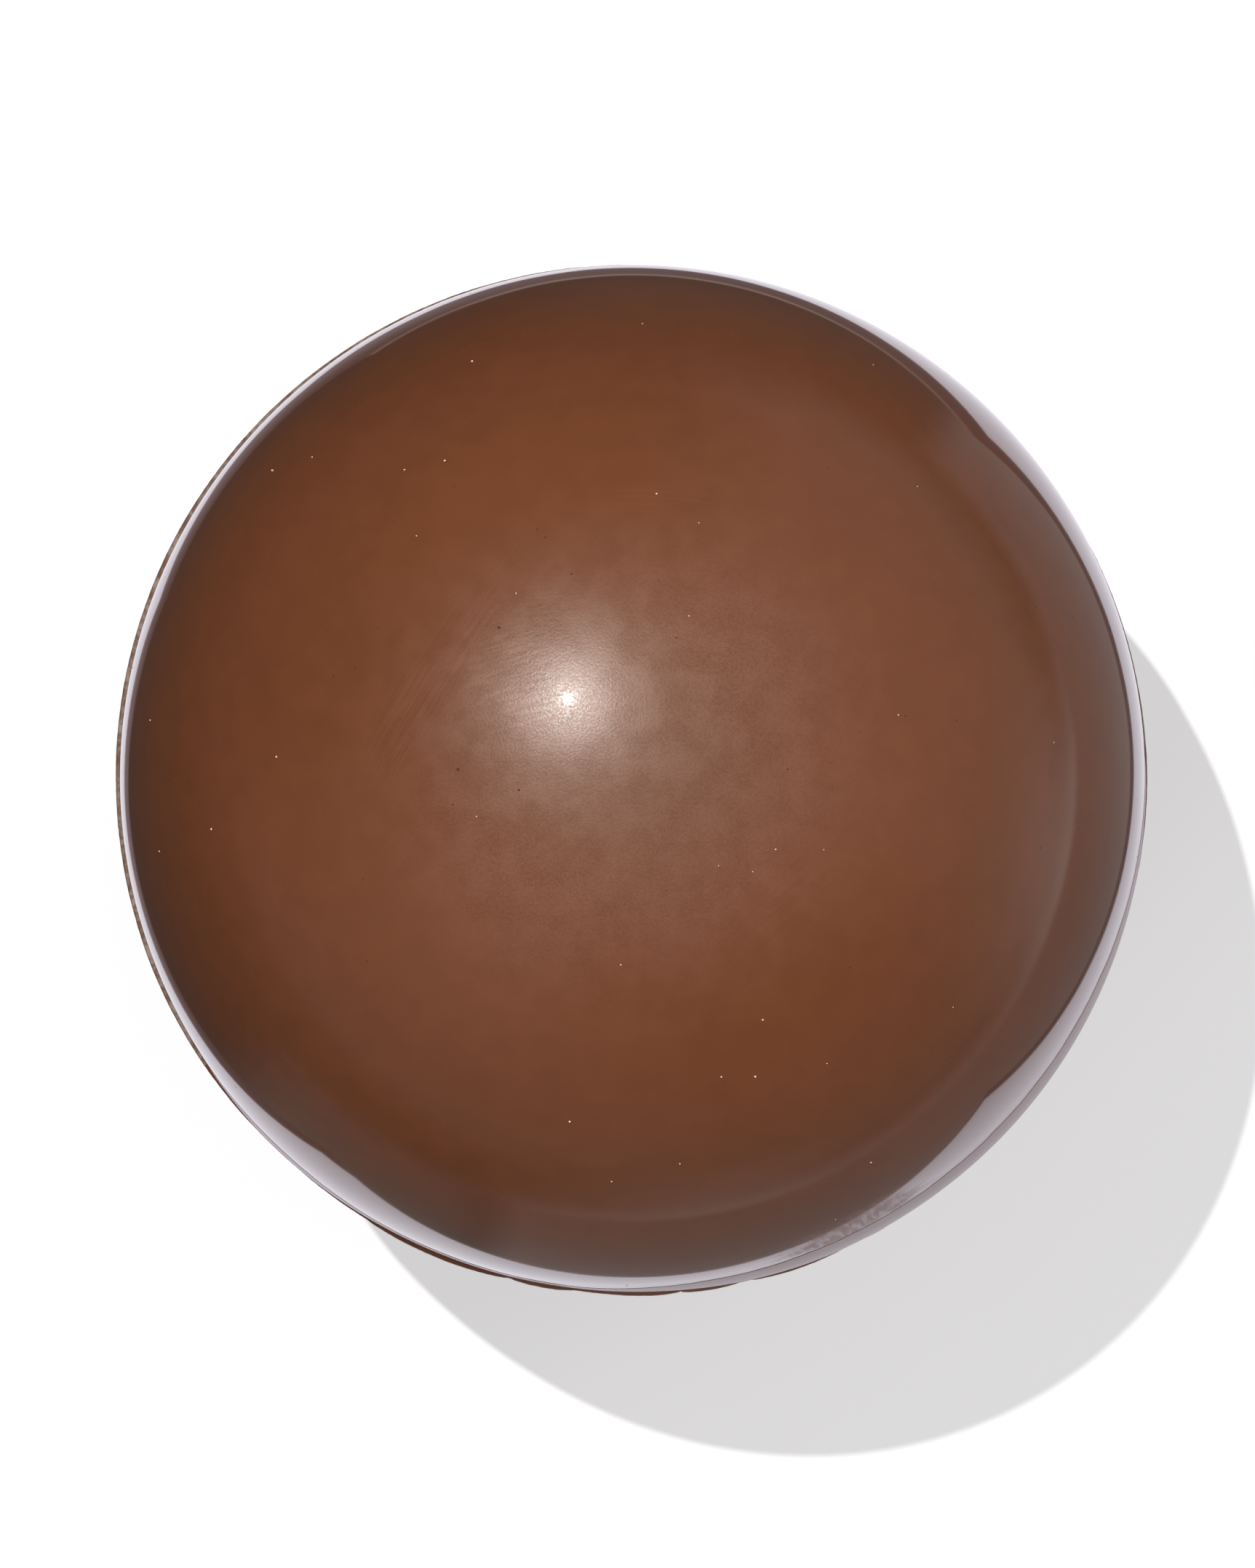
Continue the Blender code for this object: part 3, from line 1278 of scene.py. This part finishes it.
@dataclass
class Studio:
    """A white card on a grey board, one small hard lamp, and a pale room round them.

    Attributes:
        plan: the sphere's sizes.
        card: the outline of the card that the sphere stands on, in millimetres.
        board: the outline of the board under the card, in millimetres.
        lip: the line of the board's far edge, painted as a glowing strip in place of the light it catches,
            in millimetres.
        lip_width: how wide that edge is, in millimetres.
        card_colour: the card's colour, as it lights the sphere.
        card_glow: light painted into the card as a glow, in place of the room's light on it.
        card_painted_falloff: how much dimmer the card is painted towards +X, for every metre, as a painted
            falloff of its light.
        seen_colour, seen_glow: the same two as the camera sees them, with the lit card burnt out.
        painted_lift_away: how much more glow is painted into the card, as the camera sees it, away from the
            sphere on the shadow's side: painted shade that deepens near the sphere.
        painted_foot_shadow: how much darker the card is painted at the sphere's foot, as a painted contact
            shadow.
        foot_reach: how far from the middle of the foot that goes.
        board_colour: the board's own light.
        board_painted_falloff: how much dimmer it is painted towards +X, for every metre, as a painted
            falloff of its light.
        lip_painted_glow: the light painted into the board's far edge as a glow.
        floor_reach: how far the floor goes, in metres.
        key: the small hard lamp, as it lights the sphere and throws its shadow.
        glint: the same lamp as the sphere's gloss shows it.
        fill: the soft light above the sphere.
        room: the brightness of the room where nothing pale is.
        ceiling: the brightness straight above.
        ceiling_towards: where the ceiling's middle is: azimuth, and tilt from straight up.
        ceiling_edge: how far from there it ends, and how far it keeps its brightness, in degrees.
        glows: the pale things in the room.
    """

    plan: SpherePlan
    card: tuple[tuple[float, float], ...] = (
        (43.6, 42.0), (47.7, 27.4), (50.6, 10.6), (52.7, -8.0), (54.2, -26.0), (56.0, -51.0), (17.0, -53.0),
        (-21.4, -53.0), (-37.5, -54.0), (-41.8, -50.5), (-41.9, -28.0), (-43.8, -9.3), (-45.2, 17.3),
        (-35.7, 26.3), (-28.8, 34.3), (-18.5, 39.8), (-7.4, 41.9), (14.0, 42.6))
    board: tuple[tuple[float, float], ...] = (
        (50.0, 49.8), (51.3, 30.5), (54.4, 11.4), (56.2, -8.0), (57.4, -26.0), (59.5, -52.6), (17.0, -52.6),
        (-21.4, -52.6), (-37.5, -53.6), (-45.4, -56.0), (-47.0, -34.0), (-48.3, -10.0), (-50.2, 12.0),
        (-50.6, 20.0), (-41.0, 34.0), (-29.6, 47.6), (-16.0, 49.8), (14.0, 49.6))
    lip: tuple[tuple[float, float], ...] = ((-29.6, 47.6), (-16.0, 49.8), (14.0, 49.6), (50.0, 49.8))
    lip_width: float = 1.5
    card_colour: Colour = (0.210, 0.201, 0.222)
    card_glow: Colour = (0.760, 0.728, 0.795)
    card_painted_falloff: float = 1.2
    seen_colour: Colour = (0.485, 0.482, 0.485)
    seen_glow: Colour = (0.530, 0.524, 0.530)
    painted_lift_away: float = 0.08
    painted_foot_shadow: float = 0.55
    foot_reach: float = 27.0 * MM
    board_colour: Colour = (0.150, 0.117, 0.124)
    board_painted_falloff: float = 5.0
    lip_painted_glow: Colour = (0.40, 0.32, 0.29)
    floor_reach: float = 6.0
    key: Lamp = Lamp("key", 128.1, 24.5, 0.65, 2.6, glossy=False)
    glint: Lamp = Lamp("glint", 129.6, 22.25, 0.65, 2.3, diffuse=False)
    fill: Lamp = Lamp("fill", 345.0, 10.0, 55.0, 2.04, glossy=False, sphere_only=True)
    room: float = 0.045
    ceiling: float = 0.37
    ceiling_towards: tuple[float, float] = (75.0, 5.0)
    ceiling_edge: tuple[float, float] = (62.0, 28.0)
    glows: tuple[Glow, ...] = (
        Glow(0.023, 0.0, 400.0, 1.0, -9.0, 112.0, 1.0, 5.0),
        Glow(0.25, 25.0, 50.0, 16.0, 48.0, 106.0, 14.0, 9.0),
        Glow(0.14, 230.0, 42.0, 22.0, 46.0, 98.0, 14.0, 6.0),
        Glow(0.17, 222.0, 30.0, 25.0, 22.0, 64.0, 9.0, 14.0),
        Glow(0.16, 52.0, 24.0, 24.0, 16.0, 50.0, 9.0, 14.0),
        Glow(0.08, 300.0, 34.0, 12.0, 74.0, 108.0, 8.0, 6.0),
        Glow(0.08, 305.0, 52.0, 10.0, 104.0, 116.5, 10.0, 1.2),
        Glow(0.17, 281.0, 12.0, 15.0, 103.0, 116.5, 9.0, 1.2),
        Glow(0.40, 352.0, 15.0, 14.0, 99.0, 116.5, 17.0, 1.2),
        Glow(0.22, 331.0, 77.0, 4.0, 113.0, 180.0, 4.0, 1.0, (1.0, 0.84, 0.82)),
        Glow(0.07, 20.0, 30.0, 12.0, 113.0, 180.0, 4.0, 1.0, (1.0, 0.84, 0.82)),
        Glow(0.11, 236.0, 17.0, 8.0, 114.0, 180.0, 5.0, 1.0),
        Glow(0.03, 76.0, 24.0, 10.0, 108.0, 150.0, 6.0, 10.0),
        Glow(0.07, 92.0, 32.0, 8.0, 95.5, 98.5, 1.5, 1.0),
    )

    def sheet(self, name: str, outer: list[Vector], inner: list[Vector] | None,
              material: Material) -> Object:
        """A flat stage sheet, whole or with a hole.

        Args:
            name: its name.
            outer: its outline.
            inner: the outline of its hole, with as many points, if it has one.
            material: its finish.

        Returns:
            The sheet, marked as stage.
        """
        net = bmesh.new()
        rim = [net.verts.new(point) for point in outer]
        if inner is None:
            net.faces.new(rim)
        else:
            hole = [net.verts.new(point) for point in inner]
            for number in range(len(rim)):
                after = (number + 1) % len(rim)
                net.faces.new((rim[number], rim[after], hole[after], hole[number]))
        bmesh.ops.recalc_face_normals(net, faces=net.faces[:])
        mesh = bpy.data.meshes.new(name)
        net.to_mesh(mesh)
        net.free()
        mesh.materials.append(material)
        made = bpy.data.objects.new(name, mesh)
        bpy.context.scene.collection.objects.link(made)
        return made

    def paper(self) -> Material:
        """White card, brighter to the camera than in what the chocolate reflects.

        Returns:
            The material.
        """
        made = bpy.data.materials.new("white_card")
        graph = Graph(made)
        where = graph.place()
        # Painted falloff: the card's glow dims towards +X.
        painted_falloff = 1.0 - graph.along(where, Vector((1.0, 0.0, 0.0))) * self.card_painted_falloff
        # Painted shade: the card's glow is lower near the sphere on the shadow's side and rises away from
        # it.
        away = graph.along(where, compass(self.key.azimuth + 180.0)).rise(18.0 * MM, 36.0 * MM)
        # Painted contact shadow: the card's colour and glow darken towards the sphere's foot.
        shaded = 1.0 - graph.length(where).rise(self.foot_reach, 2.0 * MM) * self.painted_foot_shadow
        plain = {"Roughness": 0.9, "Specular IOR Level": 0.0, "Emission Strength": 1.0}
        # The card's glow is light painted into it, in place of the room's light on it.
        given = graph.principled({
            **plain,
            "Base Color": self.card_colour,
            "Emission Color": graph.scale_colour(self.card_glow, painted_falloff),
        })
        seen = graph.principled({
            **plain,
            "Base Color": graph.scale_colour(self.seen_colour, shaded),
            "Emission Color": graph.scale_colour(self.seen_glow, (1.0 + away * self.painted_lift_away) * shaded),
        })
        graph.end(graph.seen(given, seen))
        return made

    def glowing(self, name: str, colour: Colour) -> Material:
        """A dull finish that gives off a little light, less towards +X and at the far left.

        Args:
            name: the material's name.
            colour: the light it gives off.

        Returns:
            The material.
        """
        made = bpy.data.materials.new(name)
        graph = Graph(made)
        where = graph.place()
        # Painted falloff: the glow dims towards +X.
        painted_falloff = 1.0 - graph.along(where, Vector((1.0, 0.0, 0.0))) * self.board_painted_falloff
        left = graph.along(where, Vector((-1.0, 0.0, 0.0))).rise(5.0 * MM, 25.0 * MM)
        far = graph.length(where).rise(45.0 * MM, 54.0 * MM)
        graph.end(graph.principled({
            "Base Color": (0.02, 0.02, 0.02),
            "Roughness": 0.9,
            "Emission Color": graph.scale_colour(colour, painted_falloff * (1.0 + left * (0.45 - far * 0.8))),
            "Emission Strength": 1.0,
        }))
        return made

    def lay_floor(self) -> None:
        """Lay the board and the card on it, and the floor round them, which only the camera sees."""
        paper = self.paper()
        down = UP * -0.02 * MM
        outline = [Vector((x, y, 0.0)) * MM + down for x, y in self.card]
        board = [Vector((x, y, -0.2)) * MM for x, y in self.board]
        near = [Vector((x, y, -0.2)) * MM for x, y in self.lip]
        lip = near + [point + Vector((0.0, self.lip_width * MM, 0.0)) for point in reversed(near)]
        far = [point.normalized() * self.floor_reach for point in outline]
        self.sheet("card", outline, None, paper)
        under = self.sheet("board", board, None, self.glowing("grey_board", self.board_colour))
        # The board's far edge glows: a painted highlight in place of the light it catches.
        edge = self.sheet("board_edge", lip, None, self.glowing("board_edge", self.lip_painted_glow))
        under.visible_camera = False
        edge.visible_camera = False
        floor = self.sheet("floor", [Vector((p.x, p.y, down.z)) for p in far], outline, paper)
        floor.visible_glossy = False
        floor.visible_diffuse = False

    def light_room(self) -> None:
        """Give the room its pale ceiling, walls and table; the camera itself sees plain white."""
        world = bpy.data.worlds.new("room")
        bpy.context.scene.world = world
        graph = Graph(world)
        direction = graph.node("ShaderNodeTexCoord").outputs["Generated"]
        east, north, up = (graph.value("ShaderNodeSeparateXYZ", values={0: direction}, output=part)
                           for part in range(3))
        from_up = up.arccos() * math.degrees(1.0)
        azimuth = north.arctan(east) * math.degrees(1.0)
        azimuth_up, tilt_up = self.ceiling_towards
        middle = compass(azimuth_up, math.sin(math.radians(tilt_up))) + UP * math.cos(math.radians(tilt_up))
        from_ceiling = graph.along(direction, middle).arccos() * math.degrees(1.0)
        plain = from_ceiling.rise(*self.ceiling_edge) * self.ceiling + self.room
        light = graph.scale_colour((1.0, 1.0, 1.0), plain)
        for glow in self.glows:
            more = graph.scale_colour(glow.tint, glow.shade(azimuth, from_up))
            light = graph.node("ShaderNodeVectorMath", {"operation": "ADD"}, {0: light, 1: more}).outputs[0]
        room, white = (
            graph.node("ShaderNodeBackground", values={"Color": colour, "Strength": 1.0}).outputs[0]
            for colour in (light, (1.0, 1.0, 1.0)))
        graph.end(graph.seen(room, white))

    def build(self, sphere: list[Object]) -> None:
        """Set up floor, lamps and room.

        Args:
            sphere: the sphere's pieces.
        """
        self.lay_floor()
        for lamp in (self.key, self.glint, self.fill):
            lamp.hang(sphere)
        self.light_room()
        bpy.context.scene.view_settings.view_transform = "Standard"
        bpy.context.scene.view_settings.look = "None"


@dataclass
class OverheadCamera:
    """The camera, straight above the sphere.

    Attributes:
        plan: the sphere's sizes.
        height: its height above the sphere's middle.
        lens: its focal length, in millimetres, on a 36 mm frame.
        aside: how far it is from the sphere's axis, along X and Y.
    """

    plan: SpherePlan
    height: float = 0.464
    lens: float = 171.3
    aside: tuple[float, float] = (-0.25 * MM, -0.20 * MM)

    def build(self) -> None:
        """Put the camera in place and make it the scene's own."""
        data = bpy.data.cameras.new("overhead")
        data.lens = self.lens
        data.sensor_width = 36.0
        data.clip_start = 0.01
        made = bpy.data.objects.new("overhead", data)
        made.location = self.plan.centre + UP * self.height + Vector((*self.aside, 0.0))
        bpy.context.scene.collection.objects.link(made)
        bpy.context.scene.camera = made


def main() -> None:
    """Build the sphere, the studio round it and the camera above it."""
    logging.basicConfig(level=logging.INFO, format="%(message)s")
    sphere = ChocolateSphere()
    pieces = sphere.build()
    Studio(sphere.plan).build(pieces)
    OverheadCamera(sphere.plan).build()


if __name__ == "__main__":
    main()
